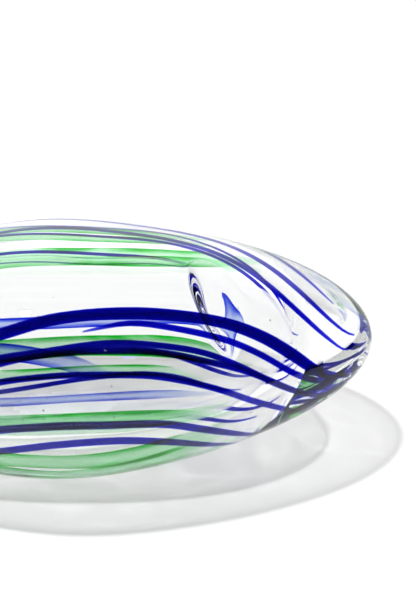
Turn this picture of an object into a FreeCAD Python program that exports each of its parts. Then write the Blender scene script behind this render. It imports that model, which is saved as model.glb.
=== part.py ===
import FreeCAD, Part
import math
import os

# Reclining art glass vase: a flattened egg of clear glass lying on a small ground flat.
# +X runs to the thick solid base end, -X to the mouth, -Y is the front and +Z is up.
# Two clear gathers lie one over the other. The inner one is blown round the cavity and
# holds the wide ribbons. The outer one cases it and holds the fine cobalt threads.

doc = FreeCAD.newDocument("ArtGlassVase")

sizeTable = [
    # alias, value in mm (or plain number), meaning
    ("bodyHeight", 106.0, "height across the widest section, before the flat is ground"),
    ("bodyWidth", 134.0, "front to back across the widest section"),
    ("baseReach", 140.0, "widest section to the tip of the base end"),
    ("mouthReach", 108.0, "widest section to the lip of the mouth"),
    ("bodyPower", 1.5, "fullness of the outer outline, 2 is an ellipse"),
    ("cavityPower", 2.4, "fullness of the cavity"),
    ("crownEase", 0.15, "softens the outline where the two ends meet, share of a reach"),
    ("flatDepth", 1.5, "glass ground away for the resting flat"),
    ("caseWall", 9.0, "outer gather over the inner one at the widest section"),
    ("baseGather", 14.0, "outer gather beyond the inner one at the base tip"),
    ("innerWall", 7.0, "inner gather round the cavity at the widest section"),
    ("solidBase", 19.0, "inner gather beyond the end of the cavity"),
    ("mouthBore", 30.0, "clear diameter of the mouth"),
    ("lipWidth", 9.0, "thickness of the fire-polished lip"),
    ("lipRise", 3.0, "how far the rounded lip stands past its edges"),
    ("heavyThread", 5.4, "diameter of the heavy cobalt thread"),
    ("fineThread", 2.8, "diameter of a fine cobalt thread"),
    ("broadThread", 3.5, "diameter of a broad cobalt thread low on the front"),
    ("ribbonThick", 1.6, "thickness of a ribbon"),
    ("wideRibbon", 12.0, "width of a wide ribbon"),
    ("narrowRibbon", 7.0, "width of a narrow ribbon"),
    ("strandTip", 0.3, "a strand's size at its drawn-out tip, share of its full size"),
]

sheet = doc.addObject("Spreadsheet::Sheet", "Sizes")
for row, (alias, value, meaning) in enumerate(sizeTable, start=1):
    sheet.set(f"A{row}", meaning)
    sheet.set(f"B{row}", str(value))
    sheet.setAlias(f"B{row}", alias)
doc.recompute()


def size(alias):
    return float(getattr(sheet, alias))


bodyRadius = size("bodyHeight") / 2
widthRatio = size("bodyWidth") / size("bodyHeight")
wideX = (size("mouthReach") - size("baseReach")) / 2     # widest section, origin at mid length
mouthX = wideX - size("mouthReach")
lipEdgeX = mouthX + size("lipRise")
axisZ = bodyRadius - size("flatDepth")
lipRadius = (size("mouthBore") + size("lipWidth")) / 2    # middle of the lip


# ---- outlines: distance from the axis along the body ------------------------------------

def fullness(share, power):
    """Rises from 0 at the widest section to 1 at the tip."""
    ease = size("crownEase")
    rise = (share ** 2 + ease ** 2) ** (power / 2) - ease ** power
    return rise / ((1 + ease ** 2) ** (power / 2) - ease ** power)


def shareWhere(fraction, power):
    """Share of a reach at which the outline has shrunk to this fraction of its radius."""
    ease = size("crownEase")
    rise = (1 - fraction ** 2) * ((1 + ease ** 2) ** (power / 2) - ease ** power)
    return math.sqrt((rise + ease ** power) ** (2 / power) - ease ** 2)


def makeLayer(radius, baseReach, power, endX, endRadius):
    """A layer's outline: full radius, reach to each virtual tip, fullness and open end."""
    mouthReach = (wideX - endX) / shareWhere(endRadius / radius, power)
    return dict(radius=radius, base=baseReach, mouth=mouthReach, power=power, endX=endX)


def layerRadius(layer, x):
    share = (x - wideX) / (layer["base"] if x > wideX else layer["mouth"])
    if abs(share) >= 1:
        return 0.0
    return layer["radius"] * math.sqrt(1 - fullness(abs(share), layer["power"]))


outerLayer = makeLayer(bodyRadius, size("baseReach"), size("bodyPower"),
                       lipEdgeX, lipRadius + size("lipWidth") / 2)
casedLayer = makeLayer(bodyRadius - size("caseWall"), size("baseReach") - size("baseGather"),
                       size("bodyPower"), mouthX, lipRadius)
cavityLayer = makeLayer(casedLayer["radius"] - size("innerWall"),
                        casedLayer["base"] - size("solidBase"), size("cavityPower"),
                        lipEdgeX, lipRadius - size("lipWidth") / 2)


def layerCurve(layer, basePoints=12, mouthPoints=9):
    """The outline as one smooth curve from the base tip to the mouth end."""
    endAngle = math.acos((layer["endX"] - wideX) / layer["mouth"])
    turns = [math.pi / 2 * step / basePoints for step in range(basePoints + 1)]
    turns += [math.pi / 2 + (endAngle - math.pi / 2) * step / mouthPoints
              for step in range(1, mouthPoints + 1)]
    points = []
    for turn in turns:
        reach = layer["base"] if turn < math.pi / 2 else layer["mouth"]
        x = wideX + reach * math.cos(turn)
        points.append(FreeCAD.Vector(x, 0, axisZ + layerRadius(layer, x)))
    curve = Part.BSplineCurve()
    square = FreeCAD.Vector(0, 0, 1)                       # the tip is square to the axis
    curve.interpolate(Points=points, Tangents=[square] + [FreeCAD.Vector(-1, 0, 0)] * (len(points) - 1),
                      TangentFlags=[True] + [False] * (len(points) - 1))
    return curve


def lipArc(startRadius, endRadius):
    """Quarter of the rounded lip, between two distances from the axis."""
    rise = size("lipRise")
    half = size("lipWidth") / 2
    arcRadius = (half ** 2 + rise ** 2) / (2 * rise)
    centreX = mouthX + arcRadius
    middle = (startRadius + endRadius) / 2
    bulge = math.sqrt(arcRadius ** 2 - (middle - lipRadius) ** 2)
    ends = []
    for radius in (startRadius, endRadius):
        x = centreX - math.sqrt(arcRadius ** 2 - (radius - lipRadius) ** 2)
        ends.append(FreeCAD.Vector(x, 0, axisZ + radius))
    return Part.Arc(ends[0], FreeCAD.Vector(centreX - bulge, 0, axisZ + middle), ends[1])


def wallProfile(name, outside, inside, lipStart, lipEnd):
    """Closed half section of one gather, from its outside round the lip to its inside."""
    outsideEdge = layerCurve(outside).toShape()
    insideEdge = layerCurve(inside).toShape()
    axisEdge = Part.makeLine(insideEdge.Vertexes[0].Point, outsideEdge.Vertexes[0].Point)
    lipEdge = lipArc(lipStart, lipEnd).toShape()
    profile = doc.addObject("Part::Feature", name)
    profile.Shape = Part.Wire(Part.__sortEdges__([outsideEdge, lipEdge, insideEdge, axisEdge]))
    return profile


# ---- clear gathers -----------------------------------------------------------------------

def turnedWall(name, profile):
    """Spins a half section about the long axis, then draws it out front to back."""
    turned = doc.addObject("Part::Revolution", name + "Turned")
    turned.Source = profile
    turned.Axis = FreeCAD.Vector(1, 0, 0)
    turned.Base = FreeCAD.Vector(0, 0, axisZ)
    turned.setExpression("Base.z", "Sizes.bodyHeight / 2 - Sizes.flatDepth")
    turned.Angle = 360
    turned.Solid = True
    drawn = doc.addObject("Part::Scale", name + "Drawn")
    drawn.Base = turned
    drawn.Uniform = False
    drawn.XScale = 1
    drawn.setExpression("YScale", "Sizes.bodyWidth / Sizes.bodyHeight")
    drawn.ZScale = 1
    return drawn


caseProfile = wallProfile("CaseProfile", outerLayer, casedLayer,
                          lipRadius + size("lipWidth") / 2, lipRadius)
innerProfile = wallProfile("InnerProfile", casedLayer, cavityLayer,
                           lipRadius, lipRadius - size("lipWidth") / 2)
caseBlank = turnedWall("Case", caseProfile)
innerBlank = turnedWall("Inner", innerProfile)

grinder = doc.addObject("Part::Box", "Grinder")            # everything below the resting flat
grinder.setExpression("Length", "Sizes.baseReach + Sizes.mouthReach")
grinder.setExpression("Width", "Sizes.bodyWidth")
grinder.setExpression("Height", "2 * Sizes.flatDepth")
grinder.setExpression("Placement.Base.x", "-(Sizes.baseReach + Sizes.mouthReach) / 2")
grinder.setExpression("Placement.Base.y", "-Sizes.bodyWidth / 2")
grinder.setExpression("Placement.Base.z", "-2 * Sizes.flatDepth")

caseGround = doc.addObject("Part::Cut", "CaseGround")
caseGround.Base = caseBlank
caseGround.Tool = grinder


# ---- coloured strands --------------------------------------------------------------------

def turnAt(route, along):
    """The turn where a smooth line through the route's points passes this share of reach."""
    last = len(route) - 1
    first = max(i for i in range(last) if along >= route[i][0] or i == 0)
    start, end = route[first], route[first + 1]
    slopes = []
    for i in (first, first + 1):
        before, after = route[max(i - 1, 0)], route[min(i + 1, last)]
        slopes.append((after[1] - before[1]) / (after[0] - before[0]))
    span = end[0] - start[0]
    f = (along - start[0]) / span
    return (start[1] * (1 - 3 * f ** 2 + 2 * f ** 3) + end[1] * (3 * f ** 2 - 2 * f ** 3)
            + span * (slopes[0] * (f - 2 * f ** 2 + f ** 3) + slopes[1] * (f ** 3 - f ** 2)))


def glassPoint(along, turn, outside, inside, level):
    """A point in a gather. along is a share of the outer reach, turn is in degrees from the
    front over the top, and level runs from 0 on the gather's outside to 1 on its inside."""
    x = wideX + along * (outerLayer["base"] if along > 0 else outerLayer["mouth"])
    near = layerRadius(outside, x)
    radius = near + (layerRadius(inside, x) - near) * level
    angle = math.radians(turn)
    return FreeCAD.Vector(x, -radius * widthRatio * math.cos(angle), axisZ + radius * math.sin(angle))


def strandSolid(route, width, thick, outside, inside, level, degreesPerSection=6):
    """Skins an oval section along a route in the glass, drawn out thin at both ends.
    Sections lie evenly in the angle whose sine is the share of reach: closer at the ends."""
    startAngle, endAngle = math.asin(route[0][0]), math.asin(route[-1][0])
    count = math.ceil(math.degrees(endAngle - startAngle) / degreesPerSection)
    nearby = 0.002
    ovals = []
    for index in range(count + 1):
        share = index / count
        along = math.sin(startAngle + (endAngle - startAngle) * share)
        turn = turnAt(route, along)
        middle = glassPoint(along, turn, outside, inside, level)
        ahead = glassPoint(along + nearby, turnAt(route, along + nearby), outside, inside, level)
        behind = glassPoint(along - nearby, turnAt(route, along - nearby), outside, inside, level)
        forward = (ahead - behind).normalize()
        beside = (glassPoint(along, turn + 1, outside, inside, level)
                  - glassPoint(along, turn - 1, outside, inside, level))
        beside = (beside - forward * beside.dot(forward)).normalize()
        outward = forward.cross(beside)
        fromEnd = min(1, 5 * min(share, 1 - share))
        scale = size("strandTip") + (1 - size("strandTip")) * math.sin(fromEnd * math.pi / 2)
        oval = Part.Ellipse(middle + beside * (width / 2 * scale),
                            middle + outward * (thick / 2 * scale), middle)
        ovals.append(oval.toBSpline())
    skin = Part.BSplineSurface()
    skin.buildFromNSections(ovals)
    ends = [Part.Face(Part.Wire(oval.toShape())) for oval in (ovals[0], ovals[-1])]
    shell = Part.Shell([skin.toShape()] + ends)
    shell.sewShape()
    solid = Part.Solid(shell)
    if solid.Volume < 0:
        solid.reverse()
    return solid


def addStrand(name, *shapeSizes):
    strand = doc.addObject("Part::Feature", name.title().replace("_", ""))
    strand.Label = name
    strand.Shape = strandSolid(*shapeSizes)
    return strand


# Each route is a list of (share of the reach towards mouth or base, turn in degrees).
# Towards the base end the threads wind round and under the solid tip.
heavy, fine, broad = "heavyThread", "fineThread", "broadThread"
threadRoutes = [
    (heavy, 0.46, [(-0.74, 31), (-0.22, 47), (0, 55), (0.16, 58), (0.35, 58), (0.52, 54),
                   (0.64, 45), (0.73, 31), (0.80, 13), (0.86, -6), (0.90, -24)]),
    (fine, 0.80, [(0.10, 50), (0.24, 54), (0.38, 51), (0.51, 45), (0.59, 38), (0.66, 28),
                  (0.73, 13), (0.80, -5), (0.86, -22)]),
    (fine, 0.30, [(-0.76, 12), (-0.22, 37), (0, 42), (0.18, 45), (0.34, 43), (0.47, 38),
                  (0.58, 28), (0.68, 13), (0.76, -3), (0.83, -22), (0.88, -40)]),
    (fine, 0.72, [(-0.76, 4), (-0.22, 33), (0, 40), (0.18, 41), (0.34, 39), (0.48, 32),
                  (0.60, 22), (0.69, 7), (0.77, -14), (0.83, -36), (0.87, -55)]),
    (fine, 0.35, [(-0.76, -2), (-0.22, 26), (0, 31), (0.18, 31), (0.34, 28), (0.50, 18),
                  (0.62, 3), (0.70, -12), (0.77, -34), (0.83, -56), (0.88, -80)]),
    (broad, 0.45, [(-0.75, -24), (-0.22, 2), (0, 7), (0.18, 6), (0.34, 2), (0.45, -7),
                   (0.55, -21), (0.64, -42), (0.73, -63)]),
    (broad, 0.45, [(-0.76, -38), (-0.22, -12), (0, -4), (0.20, -4), (0.36, -12), (0.48, -26),
                   (0.58, -46), (0.64, -58)]),
    (fine, 0.35, [(-0.76, 92), (-0.22, 109), (0, 110), (0.20, 109), (0.36, 107), (0.50, 101),
                  (0.62, 88), (0.74, 66), (0.84, 42), (0.90, 22)]),
    (fine, 0.70, [(-0.76, 124), (-0.22, 132), (0, 130), (0.20, 128), (0.40, 126), (0.54, 119),
                  (0.66, 104), (0.77, 82), (0.86, 58), (0.91, 40)]),
    (fine, 0.38, [(-0.62, 158), (-0.22, 154), (0.10, 151), (0.34, 149), (0.50, 142), (0.64, 127),
                  (0.76, 105), (0.86, 82)]),
    (fine, 0.50, [(-0.76, 244), (-0.25, 240), (0, 232), (0.15, 230), (0.30, 234), (0.42, 243),
                  (0.52, 254), (0.62, 266), (0.72, 276)]),
    (broad, 0.55, [(-0.76, 270), (-0.25, 261), (-0.05, 253), (0.10, 249), (0.22, 248), (0.33, 251),
                   (0.42, 258), (0.50, 268), (0.58, 279), (0.62, 285)]),
]
wide, narrow = "wideRibbon", "narrowRibbon"
greenRoutes = [
    (wide, [(-0.66, 240), (-0.22, 233), (0.10, 228), (0.36, 232), (0.52, 244), (0.64, 262)]),
    (narrow, [(-0.62, 256), (-0.22, 250), (0.12, 246), (0.34, 250), (0.46, 262)]),
    (wide, [(-0.66, 300), (-0.22, 296), (0.10, 292), (0.36, 298), (0.56, 308)]),
    (wide, [(-0.66, 325), (-0.22, 320), (0.10, 318), (0.34, 324), (0.52, 334)]),
    (narrow, [(-0.66, 350), (-0.22, 360), (0.10, 363), (0.34, 359), (0.54, 350)]),
    (wide, [(-0.66, 80), (-0.22, 92), (0.10, 94), (0.34, 98), (0.52, 106), (0.64, 120)]),
    (narrow, [(-0.60, 120), (-0.22, 122), (0.10, 120), (0.34, 124), (0.50, 134)]),
]
blueRoutes = [
    (narrow, [(-0.66, 275), (-0.22, 272), (0.10, 268), (0.34, 270), (0.50, 280)]),
    (narrow, [(-0.60, 34), (-0.22, 40), (0.02, 36), (0.20, 26)]),
    (narrow, [(-0.60, 212), (-0.22, 214), (0.10, 210), (0.34, 208), (0.54, 214), (0.66, 228)]),
]

threads = []
for number, (thickness, level, route) in enumerate(threadRoutes, start=1):
    threads.append(addStrand(f"cobalt_thread_{number:02d}", route, size(thickness) * 1.02,
                             size(thickness), outerLayer, casedLayer, level))
ribbons = []
for colour, routes in (("green", greenRoutes), ("blue", blueRoutes)):
    for number, (width, route) in enumerate(routes, start=1):
        ribbons.append(addStrand(f"{colour}_ribbon_{number:02d}", route, size(width),
                                 size("ribbonThick"), casedLayer, cavityLayer, 0.5))


# ---- gathers with the strands' own room taken out ----------------------------------------

def roomFor(name, blank, strands):
    """A gather closed over its strands: each strand fills a hollow of its own shape."""
    bundle = doc.addObject("Part::Compound", name.title().replace("_", "") + "Strands")
    bundle.Links = strands
    gather = doc.addObject("Part::Cut", name.title().replace("_", ""))
    gather.Label = name
    gather.Base = blank
    gather.Tool = bundle
    return gather


gathers = [roomFor("clear_casing", caseGround, threads), roomFor("inner_gather", innerBlank, ribbons)]
doc.recompute()

subParts = gathers + threads + ribbons
for item in doc.Objects:
    if "Invalid" in item.State or "Error" in item.State:
        raise RuntimeError(f"{item.Label} failed: {item.State}")
for part in subParts:
    if part.Shape.isNull() or not part.Shape.isValid() or not part.Shape.Solids:
        raise RuntimeError(f"{part.Label} has no valid solid")

os.makedirs("parts", exist_ok=True)
for part in subParts:
    part.Shape.exportStep(f"parts/{part.Label}.step")
    print(f"{part.Label:20s} {part.Shape.Volume / 1000:9.2f} cm3  solids {len(part.Shape.Solids)}")
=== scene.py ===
import math
import random

import bmesh
import bpy
from mathutils import Matrix, Vector, noise


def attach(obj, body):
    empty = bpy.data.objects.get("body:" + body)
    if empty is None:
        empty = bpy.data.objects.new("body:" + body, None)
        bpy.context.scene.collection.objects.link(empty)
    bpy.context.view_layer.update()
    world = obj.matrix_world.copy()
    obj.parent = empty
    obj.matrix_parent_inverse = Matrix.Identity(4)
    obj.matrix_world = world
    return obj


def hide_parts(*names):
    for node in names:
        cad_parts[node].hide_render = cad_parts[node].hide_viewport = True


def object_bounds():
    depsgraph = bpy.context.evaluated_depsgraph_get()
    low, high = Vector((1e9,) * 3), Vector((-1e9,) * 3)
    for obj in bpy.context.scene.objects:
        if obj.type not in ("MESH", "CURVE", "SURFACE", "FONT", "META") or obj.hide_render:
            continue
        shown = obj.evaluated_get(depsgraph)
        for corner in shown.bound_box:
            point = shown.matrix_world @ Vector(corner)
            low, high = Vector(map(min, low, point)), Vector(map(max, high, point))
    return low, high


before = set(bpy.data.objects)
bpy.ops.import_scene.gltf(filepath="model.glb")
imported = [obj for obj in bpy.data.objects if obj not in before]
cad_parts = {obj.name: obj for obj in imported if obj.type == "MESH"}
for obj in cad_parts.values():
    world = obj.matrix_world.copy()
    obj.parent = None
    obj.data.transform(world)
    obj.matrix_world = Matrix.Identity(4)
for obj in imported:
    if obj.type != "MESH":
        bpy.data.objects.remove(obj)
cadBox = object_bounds()
print("frame loaded")

millimetre = 0.001


# the body's own shape, worked out from the frame
bodyShape = dict(
    flatDepth=1.5 * millimetre,      # ground off underneath
    baseReachShare=140 / 248,        # of the whole length, widest section to base tip
    power=1.5,                       # fullness of the outline, 2 is an ellipse
    cavityPower=2.4,
    crownEase=0.15,                  # softens the outline at the widest section
    caseWall=9 * millimetre,
    baseGather=14 * millimetre,
    innerWall=7 * millimetre,
    solidBase=19 * millimetre,
    mouthBore=30 * millimetre,
    lipWidth=9 * millimetre,
    lipRise=3 * millimetre,
    bow=5.5 * millimetre,            # how far the base tip lifts as the glass cools
)

low, high = [Vector(corner) for corner in cadBox]
bodyRadius = (high.z + bodyShape["flatDepth"]) / 2
widthRatio = (high.y - low.y) / (2 * bodyRadius)
baseReach = (high.x - low.x) * bodyShape["baseReachShare"]
wideX = high.x - baseReach
mouthX = low.x
lipEdgeX = mouthX + bodyShape["lipRise"]
axisZ = bodyRadius - bodyShape["flatDepth"]
lipRadius = (bodyShape["mouthBore"] + bodyShape["lipWidth"]) / 2


def fullness(share, power):
    ease = bodyShape["crownEase"]
    rise = (share ** 2 + ease ** 2) ** (power / 2) - ease ** power
    return rise / ((1 + ease ** 2) ** (power / 2) - ease ** power)


def shareWhere(fraction, power):
    ease = bodyShape["crownEase"]
    rise = (1 - fraction ** 2) * ((1 + ease ** 2) ** (power / 2) - ease ** power)
    return math.sqrt((rise + ease ** power) ** (2 / power) - ease ** 2)


def makeLayer(radius, baseLength, power, endX, endRadius):
    mouthLength = (wideX - endX) / shareWhere(endRadius / radius, power)
    return dict(radius=radius, base=baseLength, mouth=mouthLength, power=power, endX=endX)


def layerRadius(layer, x):
    share = abs(x - wideX) / (layer["base"] if x > wideX else layer["mouth"])
    return layer["radius"] * math.sqrt(1 - fullness(share, layer["power"])) if share < 1 else 0.0


outerLayer = makeLayer(bodyRadius, baseReach, bodyShape["power"],
                       lipEdgeX, lipRadius + bodyShape["lipWidth"] / 2)
casedLayer = makeLayer(bodyRadius - bodyShape["caseWall"], baseReach - bodyShape["baseGather"],
                       bodyShape["power"], mouthX, lipRadius)
cavityLayer = makeLayer(casedLayer["radius"] - bodyShape["innerWall"],
                        casedLayer["base"] - bodyShape["solidBase"], bodyShape["cavityPower"],
                        lipEdgeX, lipRadius - bodyShape["lipWidth"] / 2)


def bowAt(x):
    share = max(0, (x - wideX) / baseReach)
    return bodyShape["bow"] * (1 - (1 - min(share, 1) ** 2) ** 2)


# along is a share of the outer reach, turn is in degrees from the front over the top
def glassPoint(along, turn, outside, inside, level):
    x = wideX + along * (outerLayer["base"] if along > 0 else outerLayer["mouth"])
    near = layerRadius(outside, x)
    radius = near + (layerRadius(inside, x) - near) * level
    angle = math.radians(turn)
    return Vector((x, -radius * widthRatio * math.cos(angle),
                   axisZ + radius * math.sin(angle) + bowAt(x)))


# mesh helpers
def finishPiece(name, bm, material, replaces, slot, smooth=True):
    mesh = bpy.data.meshes.new(name)
    bm.to_mesh(mesh)
    bm.free()
    if smooth:
        mesh.shade_smooth()
    piece = bpy.data.objects.new(name, mesh)
    bpy.context.scene.collection.objects.link(piece)
    mesh.materials.append(material)
    if slot:
        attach(piece, "root")
    if replaces:
        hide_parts(*replaces)
    return piece


# outline from the base tip to the mouth, close together at the tip
def curvePoints(layer, basePoints, mouthPoints):
    endAngle = math.acos((layer["endX"] - wideX) / layer["mouth"])
    angles = [math.pi / 2 * step / basePoints for step in range(basePoints)]
    angles += [math.pi / 2 + (endAngle - math.pi / 2) * step / mouthPoints
               for step in range(mouthPoints + 1)]
    points = []
    for angle in angles:
        x = wideX + (layer["base"] if angle < math.pi / 2 else layer["mouth"]) * math.cos(angle)
        points.append(Vector((x, 0, axisZ + layerRadius(layer, x))))
    return points


def lipPoints(count):
    rise, half = bodyShape["lipRise"], bodyShape["lipWidth"] / 2
    arcRadius = (half ** 2 + rise ** 2) / (2 * rise)
    reach = math.asin(half / arcRadius)
    angles = [reach * (1 - 2 * step / count) for step in range(1, count)]
    return [Vector((mouthX + arcRadius * (1 - math.cos(angle)), 0,
                    axisZ + lipRadius + arcRadius * math.sin(angle))) for angle in angles]


# shader helpers
# a socket that can stand in a sum
class Wire:
    def __init__(self, shading, socket):
        self.shading = shading
        self.socket = socket

    def join(self, operation, first, second):
        return self.shading.node("ShaderNodeMath", dict(operation=operation),
                                 {0: first, 1: second})

    def __add__(self, other):
        return self.join("ADD", self, other)

    def __sub__(self, other):
        return self.join("SUBTRACT", self, other)

    def __rsub__(self, other):
        return self.join("SUBTRACT", other, self)

    def __mul__(self, other):
        return self.join("MULTIPLY", self, other)

    def __pow__(self, other):
        return self.join("POWER", self, other)

    __radd__ = __add__
    __rmul__ = __mul__


class Shading:
    def __init__(self, owner):
        owner.use_nodes = True
        self.tree = owner.node_tree
        self.tree.nodes.clear()

    def node(self, kind, settings=None, sockets=None, output=0):
        made = self.tree.nodes.new(kind)
        for key, value in (settings or {}).items():
            setattr(made, key, value)
        for key, value in (sockets or {}).items():
            if isinstance(value, Wire):
                self.tree.links.new(value.socket, made.inputs[key])
            else:
                made.inputs[key].default_value = value
        return Wire(self, made.outputs[output]) if len(made.outputs) else made

    def noise(self, scale, detail=2.0, stretch=(1, 1, 1), distortion=0):
        place = self.node("ShaderNodeTexCoord", output="Object")
        placed = self.node("ShaderNodeMapping", None, {"Vector": place, "Scale": stretch})
        return self.node("ShaderNodeTexNoise", None,
                         {"Vector": placed, "Scale": scale, "Detail": detail,
                          "Distortion": distortion})

    def ridges(self, lines, start, full):
        peak = 0.5 - self.node("ShaderNodeMath", dict(operation="ABSOLUTE"), {0: lines - 0.5})
        return self.node("ShaderNodeMapRange", None,
                         {"Value": peak, "From Min": start, "From Max": full})

    def tinted(self, colour):
        return self.node("ShaderNodeBsdfTransparent", None, {"Color": colour})

    def mixShaders(self, factor, first, second):
        return self.node("ShaderNodeMixShader", None, {0: factor, 1: first, 2: second})


# clear glass
clearGlass = dict(
    tint=(0.994, 0.997, 0.996, 1),
    ior=1.5,
    lampTint=(0.87, 0.87, 0.87, 1),        # what lamps lose through the middle of the glass
    paintedCausticAndPatchTint=(1, 1, 1, 1),               # painted caustics: what they keep along noise lines standing in for light the glass gathers
    rimTint=(0.56, 0.56, 0.56, 1),         # and what they lose through its steep sides
    rimSharpness=3,
    # painted caustics: the noise lines that paint bright streaks into the glass's cast shadow
    paintedCausticAndPatchScale=40,
    paintedCausticDetail=0.5,
    paintedCausticAndPatchSwirl=1.2,
    paintedCausticAndPatchStretch=(0.5, 1, 1),
    paintedCausticStart=0.468,
    paintedCausticFull=0.5,
    cordScale=22,                          # faint cords in the hot glass
    cordStretch=(0.35, 1, 1),
    cordDetail=2,
    cordDepth=0.06 * millimetre,
    groundRoughness=0.45,                  # the flat is ground, not polished
)


def clearGlassMaterial(name, roughness):
    material = bpy.data.materials.new(name)
    shading = Shading(material)
    cords = shading.noise(clearGlass["cordScale"], clearGlass["cordDetail"],
                          clearGlass["cordStretch"])
    bump = shading.node("ShaderNodeBump", None,
                        {"Height": cords, "Strength": 1.0, "Distance": clearGlass["cordDepth"]})
    glass = shading.node("ShaderNodeBsdfGlass", None,
                         {"Color": clearGlass["tint"], "IOR": clearGlass["ior"],
                          "Roughness": roughness, "Normal": bump})
    # painted caustics: along noise lines the glass lets lamps through in full, painting bright
    # streaks into its cast shadow
    lines = shading.noise(clearGlass["paintedCausticAndPatchScale"], clearGlass["paintedCausticDetail"],
                          clearGlass["paintedCausticAndPatchStretch"], clearGlass["paintedCausticAndPatchSwirl"])
    paintedCausticLines = shading.ridges(lines, clearGlass["paintedCausticStart"], clearGlass["paintedCausticFull"])
    lampThrough = shading.mixShaders(paintedCausticLines, shading.tinted(clearGlass["lampTint"]),
                                     shading.tinted(clearGlass["paintedCausticAndPatchTint"]))
    rim = shading.tinted(clearGlass["rimTint"])
    # so the export doesn't take it for a tint
    rimThrough = shading.mixShaders(0.5, rim, rim)     # the same rim tint on both sides of the mix
    shadowRay = shading.node("ShaderNodeLightPath", output="Is Shadow Ray")
    steep = shading.node("ShaderNodeLayerWeight", None, {"Blend": 0.5}, output="Facing")
    body = shading.mixShaders(shadowRay, glass, lampThrough)
    bounced = shading.node("ShaderNodeLightPath", output="Is Diffuse Ray")
    even = shading.mixShaders(bounced, body, lampThrough)
    lampRay = shadowRay + bounced
    surface = shading.mixShaders(lampRay * steep ** clearGlass["rimSharpness"], even, rimThrough)
    shading.node("ShaderNodeOutputMaterial", None, {"Surface": surface})
    return material


glassBody = dict(
    around=240,
    basePoints=110,
    mouthPoints=50,
    lipPoints=10,
    skinRipple=0.16 * millimetre,
    skinRippleSize=45 * millimetre,
    cavityRipple=0.35 * millimetre,
    cavityRippleSize=30 * millimetre,
    skinDepth=0.5 * millimetre,          # points this far under the casing's inside are cavity
    evenMouth=9 * millimetre,            # no ripple so near the lip
    weld=0.001 * millimetre,
)


# a leaf-shaped fold in the cavity's front wall, thicker than the wall round it
fold = dict(along=0.50, turn=66, lean=-0.05, reach=42, wide=0.105, narrow=0.045,
            rise=5 * millimetre, edge=0.3)


def foldRise(place):
    turn = math.degrees(math.atan2(place.z - axisZ, -place.y / widthRatio))
    level = (turn - fold["turn"]) / fold["reach"]
    along = (place.x - wideX) / outerLayer["base"] - fold["along"] - fold["lean"] * level
    halfWidth = fold["narrow"] + (fold["wide"] - fold["narrow"]) * min(max(level * 0.5 + 0.5, 0), 1)
    away = math.hypot(along / halfWidth, level)
    inward = min(max((1 - away) / (1 - fold["edge"]), 0), 1)
    return fold["rise"] * inward ** 2 * (3 - 2 * inward)


def makeGlassBody(material, flatMaterial):
    bm = bmesh.new()
    outside = curvePoints(outerLayer, glassBody["basePoints"], glassBody["mouthPoints"])
    hollow = curvePoints(cavityLayer, glassBody["basePoints"], glassBody["mouthPoints"])
    outline = [bm.verts.new(p) for p in outside + lipPoints(glassBody["lipPoints"]) + hollow[::-1]]
    edges = [bm.edges.new(pair) for pair in zip(outline, outline[1:])]
    bmesh.ops.spin(bm, geom=outline + edges, cent=(0, 0, axisZ), axis=(1, 0, 0), angle=2 * math.pi,
                   steps=glassBody["around"], use_merge=True)
    bmesh.ops.remove_doubles(bm, verts=bm.verts, dist=glassBody["weld"])
    bmesh.ops.recalc_face_normals(bm, faces=bm.faces)
    bmesh.ops.scale(bm, vec=(1, widthRatio, 1), verts=bm.verts)
    bm.normal_update()
    for vert in bm.verts:
        across = Vector((vert.co.y / widthRatio, vert.co.z - axisZ)).length
        inner = across < layerRadius(casedLayer, vert.co.x) - glassBody["skinDepth"]
        kind = "cavity" if inner else "skin"
        if vert.co.x > mouthX + glassBody["evenMouth"]:
            ripple = noise.noise(vert.co / glassBody[kind + "RippleSize"])
            rise = ripple * glassBody[kind + "Ripple"] + (foldRise(vert.co) if inner else 0)
            vert.co += vert.normal * rise
        vert.co.z += bowAt(vert.co.x)
        vert.co.z = max(vert.co.z, 0)
    for face in bm.faces:
        face.material_index = int(max(vert.co.z for vert in face.verts) <= 0)
    body = finishPiece("glassBody", bm, material, ["clear_casing", "inner_gather"], "clear_glass")
    body.data.materials.append(flatMaterial)


# coloured glass
# colour by depth of glass, with cloudy patches that fade out at the strand's edges and ends
def colouredMaterial(name, settings):
    material = bpy.data.materials.new(name)
    shading = Shading(material)
    patches = shading.noise(settings["paintedCausticAndPatchScale"], 3, settings["paintedCausticAndPatchStretch"],
                            settings["paintedCausticAndPatchSwirl"])
    cover = shading.node("ShaderNodeAttribute", dict(attribute_name="cover"), output="Fac")
    strength = shading.node("ShaderNodeMapRange", None,
                            {"Value": patches * cover, "From Min": settings["coverStart"],
                             "From Max": settings["coverFull"]})
    surface = shading.mixShaders(strength, shading.tinted((1, 1, 1, 1)),
                                 shading.tinted(settings["paintedCausticAndPatchTint"]))
    depth = shading.node("ShaderNodeVolumeAbsorption", None,
                         {"Color": settings["colour"], "Density": settings["density"]})
    shading.node("ShaderNodeOutputMaterial", None, {"Surface": surface, "Volume": depth})
    return material


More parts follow.
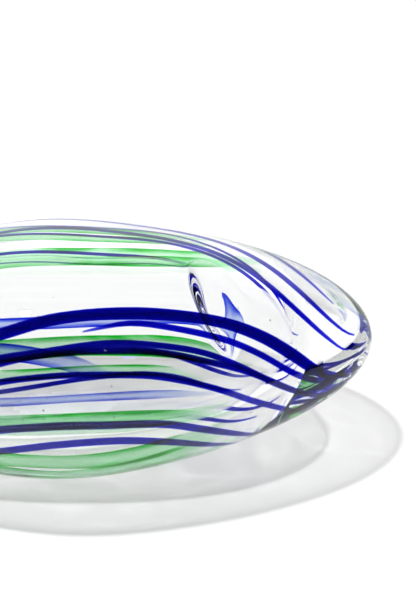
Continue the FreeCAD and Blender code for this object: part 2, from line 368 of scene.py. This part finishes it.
cobaltGlass = dict(colour=(0, 0.02, 0.87, 1), density=2500, paintedCausticAndPatchTint=(0.6, 0.65, 0.95, 1),
                   paintedCausticAndPatchScale=90, paintedCausticAndPatchStretch=(0.15, 1, 1), paintedCausticAndPatchSwirl=0,
                   coverStart=0.3, coverFull=0.7)
greenGlass = dict(colour=(0.05, 0.76, 0.20, 1), density=360, paintedCausticAndPatchTint=(0.06, 0.70, 0.14, 1),
                  paintedCausticAndPatchScale=42, paintedCausticAndPatchStretch=(0.45, 1, 1), paintedCausticAndPatchSwirl=1.5,
                  coverStart=0.2, coverFull=0.52)
blueGlass = dict(colour=(0.03, 0.24, 0.80, 1), density=480, paintedCausticAndPatchTint=(0.02, 0.12, 0.85, 1),
                 paintedCausticAndPatchScale=45, paintedCausticAndPatchStretch=(0.4, 1, 1), paintedCausticAndPatchSwirl=1.2,
                 coverStart=0.12, coverFull=0.5)


def turnAt(route, along):
    last = len(route) - 1
    first = max(i for i in range(last) if along >= route[i][0] or i == 0)
    start, end = route[first], route[first + 1]
    slopes = []
    for i in (first, first + 1):
        before, after = route[max(i - 1, 0)], route[min(i + 1, last)]
        slopes.append((after[1] - before[1]) / (after[0] - before[0]))
    span = end[0] - start[0]
    f = (along - start[0]) / span
    return (start[1] * (1 - 3 * f ** 2 + 2 * f ** 3) + end[1] * (3 * f ** 2 - 2 * f ** 3)
            + span * (slopes[0] * (f - 2 * f ** 2 + f ** 3) + slopes[1] * (f ** 3 - f ** 2)))


strandMesh = dict(degreesPerSection=2, threadSides=16, ribbonSides=24, fade=0.2, tip=0.3,
                  waver=0.12, waverLength=35 * millimetre, nearby=0.002)


# one oval's place after another along the route, as matrices
def strandFrames(route, width, thick, outside, inside, level, seed):
    startAngle, endAngle = math.asin(route[0][0]), math.asin(route[-1][0])
    count = math.ceil(math.degrees(endAngle - startAngle) / strandMesh["degreesPerSection"])
    nearby = strandMesh["nearby"]
    frames = []
    for index in range(count + 1):
        share = index / count
        along = math.sin(startAngle + (endAngle - startAngle) * share)
        turn = turnAt(route, along)
        middle = glassPoint(along, turn, outside, inside, level)
        ahead = glassPoint(along + nearby, turnAt(route, along + nearby), outside, inside, level)
        behind = glassPoint(along - nearby, turnAt(route, along - nearby), outside, inside, level)
        forward = (ahead - behind).normalized()
        beside = (glassPoint(along, turn + 1, outside, inside, level)
                  - glassPoint(along, turn - 1, outside, inside, level))
        beside = (beside - forward * beside.dot(forward)).normalized()
        outward = forward.cross(beside)
        fromEnd = min(1, 5 * min(share, 1 - share))
        scale = strandMesh["tip"] + (1 - strandMesh["tip"]) * math.sin(fromEnd * math.pi / 2)
        waver = 1 + strandMesh["waver"] * noise.noise(
            Vector((middle.x / strandMesh["waverLength"], seed, 0)))
        axes = [beside * (width / 2 * scale * waver), outward * (thick / 2 * scale), forward]
        placed = Matrix([list(axis) for axis in axes]).transposed().to_4x4()
        placed.translation = middle
        frames.append(placed)
    return frames


def makeStrand(name, node, frames, sides, material, slot):
    bm = bmesh.new()
    bmesh.ops.create_circle(bm, segments=sides, radius=1, matrix=frames[0])
    edges = bm.edges[:]
    for before, after in zip(frames, frames[1:]):
        made = bmesh.ops.extrude_edge_only(bm, edges=edges)["geom"]
        verts = [item for item in made if isinstance(item, bmesh.types.BMVert)]
        ring = set(verts)
        edges = [item for item in made
                 if isinstance(item, bmesh.types.BMEdge) and ring.issuperset(item.verts)]
        bmesh.ops.transform(bm, matrix=after @ before.inverted(), verts=verts)
    cover = bm.verts.layers.float.new("cover")
    for index, vert in enumerate(bm.verts):
        step, corner = divmod(index, sides)
        across = abs(math.sin(2 * math.pi * corner / sides))
        fromEnd = min(step, len(frames) - 1 - step) / (len(frames) - 1)
        vert[cover] = across * min(1, fromEnd / strandMesh["fade"])
    bmesh.ops.holes_fill(bm, edges=bm.edges, sides=sides)
    bmesh.ops.recalc_face_normals(bm, faces=bm.faces)
    strand = finishPiece(name, bm, material, [node], slot)
    strand.visible_shadow = False          # the vase's shadow stays neutral


# cobalt threads, in the outer gather
heavy, fine, broad = 5.4 * millimetre, 2.8 * millimetre, 3.5 * millimetre
threadRoutes = [
    (heavy, 0.46, [(-0.74, 31), (-0.22, 47), (0, 55), (0.16, 58), (0.35, 58), (0.52, 54),
                   (0.64, 45), (0.73, 31), (0.80, 13), (0.86, -6), (0.90, -24)]),
    (fine, 0.80, [(0.10, 50), (0.24, 54), (0.38, 51), (0.51, 45), (0.59, 38), (0.66, 28),
                  (0.73, 13), (0.80, -5), (0.86, -22)]),
    (fine, 0.30, [(-0.76, 12), (-0.22, 37), (0, 42), (0.18, 45), (0.34, 43), (0.47, 38),
                  (0.58, 28), (0.68, 13), (0.76, -3), (0.83, -22), (0.88, -40)]),
    (fine, 0.72, [(-0.76, 4), (-0.22, 33), (0, 40), (0.18, 41), (0.34, 39), (0.48, 32),
                  (0.60, 22), (0.69, 7), (0.77, -14), (0.83, -36), (0.87, -55)]),
    (fine, 0.35, [(-0.76, -2), (-0.22, 26), (0, 31), (0.18, 31), (0.34, 28), (0.50, 18),
                  (0.62, 3), (0.70, -12), (0.77, -34), (0.83, -56), (0.88, -80)]),
    (broad, 0.45, [(-0.75, -24), (-0.22, 2), (0, 7), (0.18, 6), (0.34, 2), (0.45, -7),
                   (0.55, -21), (0.64, -42), (0.73, -63)]),
    (broad, 0.45, [(-0.76, -38), (-0.22, -12), (0, -4), (0.20, -4), (0.36, -12), (0.48, -26),
                   (0.58, -46), (0.64, -58)]),
    (fine, 0.35, [(-0.76, 92), (-0.22, 109), (0, 110), (0.20, 109), (0.36, 107), (0.50, 101),
                  (0.62, 88), (0.74, 66), (0.84, 42), (0.90, 22)]),
    (fine, 0.70, [(-0.76, 124), (-0.22, 132), (0, 130), (0.20, 128), (0.40, 126), (0.54, 119),
                  (0.66, 104), (0.77, 82), (0.86, 58), (0.91, 40)]),
    (fine, 0.38, [(-0.62, 158), (-0.22, 154), (0.10, 151), (0.34, 149), (0.50, 142), (0.64, 127),
                  (0.76, 105), (0.86, 82)]),
    (fine, 0.50, [(-0.76, 244), (-0.25, 240), (0, 232), (0.15, 230), (0.30, 234), (0.42, 243),
                  (0.52, 254), (0.62, 266), (0.72, 276)]),
    (broad, 0.55, [(-0.76, 270), (-0.25, 261), (-0.05, 253), (0.10, 249), (0.22, 248), (0.33, 251),
                   (0.42, 258), (0.50, 268), (0.58, 279), (0.62, 285)]),
]


def makeThreads(material):
    for number, (thickness, level, route) in enumerate(threadRoutes, start=1):
        frames = strandFrames(route, thickness, thickness, outerLayer, casedLayer, level, number)
        makeStrand(f"cobaltThread{number:02d}", f"cobalt_thread_{number:02d}", frames,
                   strandMesh["threadSides"], material, "cobalt_glass")


# wide ribbons, in the inner gather
ribbonThick, ribbonLevel, firstRibbonWaver = 1.6 * millimetre, 0.5, 20
wide, narrow = 12 * millimetre, 7 * millimetre
ribbonRoutes = dict(
    green=[
        (wide, [(-0.66, 240), (-0.22, 233), (0.10, 228), (0.36, 232), (0.52, 244), (0.64, 262)]),
        (narrow, [(-0.62, 256), (-0.22, 250), (0.12, 246), (0.34, 250), (0.46, 262)]),
        (wide, [(-0.66, 300), (-0.22, 296), (0.10, 292), (0.36, 298), (0.56, 308)]),
        (wide, [(-0.66, 325), (-0.22, 320), (0.10, 318), (0.34, 324), (0.52, 334)]),
        (narrow, [(-0.66, 350), (-0.22, 360), (0.10, 363), (0.34, 359), (0.54, 350)]),
        (wide, [(-0.66, 80), (-0.22, 92), (0.10, 94), (0.34, 98), (0.52, 106), (0.64, 120)]),
        (narrow, [(-0.60, 120), (-0.22, 122), (0.10, 120), (0.34, 124), (0.50, 134)]),
    ],
    blue=[
        (narrow, [(-0.66, 275), (-0.22, 272), (0.10, 268), (0.34, 270), (0.50, 280)]),
        (narrow, [(-0.60, 34), (-0.22, 40), (0.02, 36), (0.20, 26)]),
        (narrow, [(-0.60, 212), (-0.22, 214), (0.10, 210), (0.34, 208), (0.54, 214), (0.66, 228)]),
    ],
)


def makeRibbons(colour, material):
    for number, (width, route) in enumerate(ribbonRoutes[colour], start=1):
        frames = strandFrames(route, width, ribbonThick, casedLayer, cavityLayer, ribbonLevel,
                              firstRibbonWaver + number)
        makeStrand(f"{colour}Ribbon{number:02d}", f"{colour}_ribbon_{number:02d}", frames,
                   strandMesh["ribbonSides"], material, f"{colour}_glass")


# seeds: tiny air bubbles caught between the gathers
seeds = dict(count=70, small=0.15 * millimetre, large=0.45 * millimetre, alongs=(-0.7, 0.75),
             turn=-20, turnSpread=60, levels=(0.12, 0.15, 0.88, 0.92), lowest=1.2 * millimetre,
             segments=8, rings=6, randomSeed=7)


def makeSeeds():
    material = bpy.data.materials.new("seedAir")
    shading = Shading(material)
    air = shading.node("ShaderNodeBsdfGlass", None,
                       {"Color": (1, 1, 1, 1), "IOR": 1 / clearGlass["ior"], "Roughness": 0})
    shadowRay = shading.node("ShaderNodeLightPath", output="Is Shadow Ray")
    surface = shading.mixShaders(shadowRay, air, shading.tinted((1, 1, 1, 1)))
    shading.node("ShaderNodeOutputMaterial", None, {"Surface": surface})
    draw = random.Random(seeds["randomSeed"])
    bm = bmesh.new()
    for _ in range(seeds["count"]):
        along, turn = draw.uniform(*seeds["alongs"]), draw.gauss(seeds["turn"], seeds["turnSpread"])
        place = glassPoint(along, turn, outerLayer, casedLayer, draw.choice(seeds["levels"]))
        radius = draw.uniform(seeds["small"], seeds["large"])
        if place.z > seeds["lowest"]:      # the others are ground away with the flat
            bmesh.ops.create_uvsphere(bm, u_segments=seeds["segments"], v_segments=seeds["rings"],
                                      radius=radius, matrix=Matrix.Translation(place))
    finishPiece("seeds", bm, material, [], "clear_glass")


# floor, light and camera
studio = dict(
    floorRight=1.6,
    floorFront=2.6,
    floorBack=0.9,
    floorShade=(0.86, 0.86, 0.86, 1),
    floorDrop=0.1 * millimetre,
    floorRoughness=0.7,
    grainScale=300,
    grainDetail=4,
    grainStrength=0.2,
    grainDepth=0.1 * millimetre,
    backWall=(1, 1, 1, 1),
    sideWall=0.45,                         # as bright as this beside the back wall
    darkRoom=(0.02, 0.02, 0.02, 1),
    wallLean=0.5,                          # the walls' light ends lower towards the top
    wallEdge=0.1,
    wallFull=0.5,
    wallStrength=1.3,
    keyPlace=(-0.6, 0, 2.5),
    keySize=0.12,
    keyPower=70,
    glassBounces=24,                       # light crosses many faces of glass
    clearBounces=48,
)


def makeFloor():
    bm = bmesh.new()
    right, front, back = studio["floorRight"], studio["floorFront"], studio["floorBack"]
    corners = [(-right, -front), (right, -front), (right, back), (-right, back)]
    bm.faces.new([bm.verts.new((x, y, -studio["floorDrop"])) for x, y in corners])
    material = bpy.data.materials.new("floorPaper")
    shading = Shading(material)
    grain = shading.noise(studio["grainScale"], studio["grainDetail"])
    bump = shading.node("ShaderNodeBump", None, {"Height": grain, "Distance": studio["grainDepth"],
                                                 "Strength": studio["grainStrength"]})
    paper = shading.node("ShaderNodeBsdfPrincipled", None,
                         {"Base Color": studio["floorShade"], "Normal": bump,
                          "Roughness": studio["floorRoughness"]})
    shading.node("ShaderNodeOutputMaterial", None, {"Surface": paper})
    floor = finishPiece("floor", bm, material, [], None, smooth=False)


def makeLight():
    world = bpy.data.worlds.new("studioWorld")
    bpy.context.scene.world = world
    shading = Shading(world)
    direction = shading.node("ShaderNodeTexCoord", output="Generated")
    towardRight, towardBack, upward = [
        shading.node("ShaderNodeSeparateXYZ", None, {"Vector": direction}, output=axis)
        for axis in "XYZ"]
    lean = upward * studio["wallLean"]
    back, side = [shading.node("ShaderNodeMapRange", dict(interpolation_type="SMOOTHSTEP"),
                               {"Value": toward - lean, "From Min": studio["wallEdge"],
                                "From Max": studio["wallFull"]})
                  for toward in (towardBack, towardRight * -1)]
    lit = shading.node("ShaderNodeMath", dict(operation="MAXIMUM"),
                       {0: back, 1: side * studio["sideWall"]})
    shade = shading.node("ShaderNodeMix", dict(data_type="RGBA"),
                         {0: lit, 6: studio["darkRoom"], 7: studio["backWall"]}, output=2)
    sky = shading.node("ShaderNodeBackground", None,
                       {"Color": shade, "Strength": studio["wallStrength"]})
    shading.node("ShaderNodeOutputWorld", None, {"Surface": sky})
    lamp = bpy.data.lights.new("keyLight", "AREA")
    lamp.energy = studio["keyPower"]
    lamp.size = studio["keySize"]
    key = bpy.data.objects.new("keyLight", lamp)
    key.location = studio["keyPlace"]
    key.rotation_euler = (-key.location).to_track_quat("-Z", "Y").to_euler()
    bpy.context.scene.collection.objects.link(key)


view = dict(
    elevation=36,
    lens=100,
    sensor=36,
    frameHeight=0.2678,           # height of the field at the body's axis
    right=0.0666,                 # field centre from the widest section
    up=0.0218,                    # field centre above the body's axis
)


def makeCamera():
    data = bpy.data.cameras.new("camera")
    data.lens = view["lens"]
    data.sensor_width = view["sensor"]
    camera = bpy.data.objects.new("camera", data)
    bpy.context.scene.collection.objects.link(camera)
    bpy.context.scene.camera = camera
    tilt = math.radians(view["elevation"])
    forward = Vector((0, math.cos(tilt), -math.sin(tilt)))
    upward = Vector((0, math.sin(tilt), math.cos(tilt)))
    distance = view["frameHeight"] * view["lens"] / view["sensor"]
    target = Vector((wideX + view["right"], 0, axisZ)) + upward * view["up"]
    camera.location = target - forward * distance
    camera.rotation_euler = forward.to_track_quat("-Z", "Y").to_euler()


makeGlassBody(clearGlassMaterial("clearGlass", 0),
              clearGlassMaterial("groundGlass", clearGlass["groundRoughness"]))
print("glass body made")
makeThreads(colouredMaterial("cobaltGlass", cobaltGlass))
makeRibbons("green", colouredMaterial("greenGlass", greenGlass))
makeRibbons("blue", colouredMaterial("blueGlass", blueGlass))
print("strands made")
makeSeeds()
makeFloor()
makeLight()
makeCamera()
print("studio set")

scene = bpy.context.scene
scene.view_settings.view_transform = "Standard"
scene.cycles.max_bounces = studio["glassBounces"]
scene.cycles.glossy_bounces = studio["glassBounces"]
scene.cycles.transmission_bounces = studio["glassBounces"]
scene.cycles.transparent_max_bounces = studio["clearBounces"]
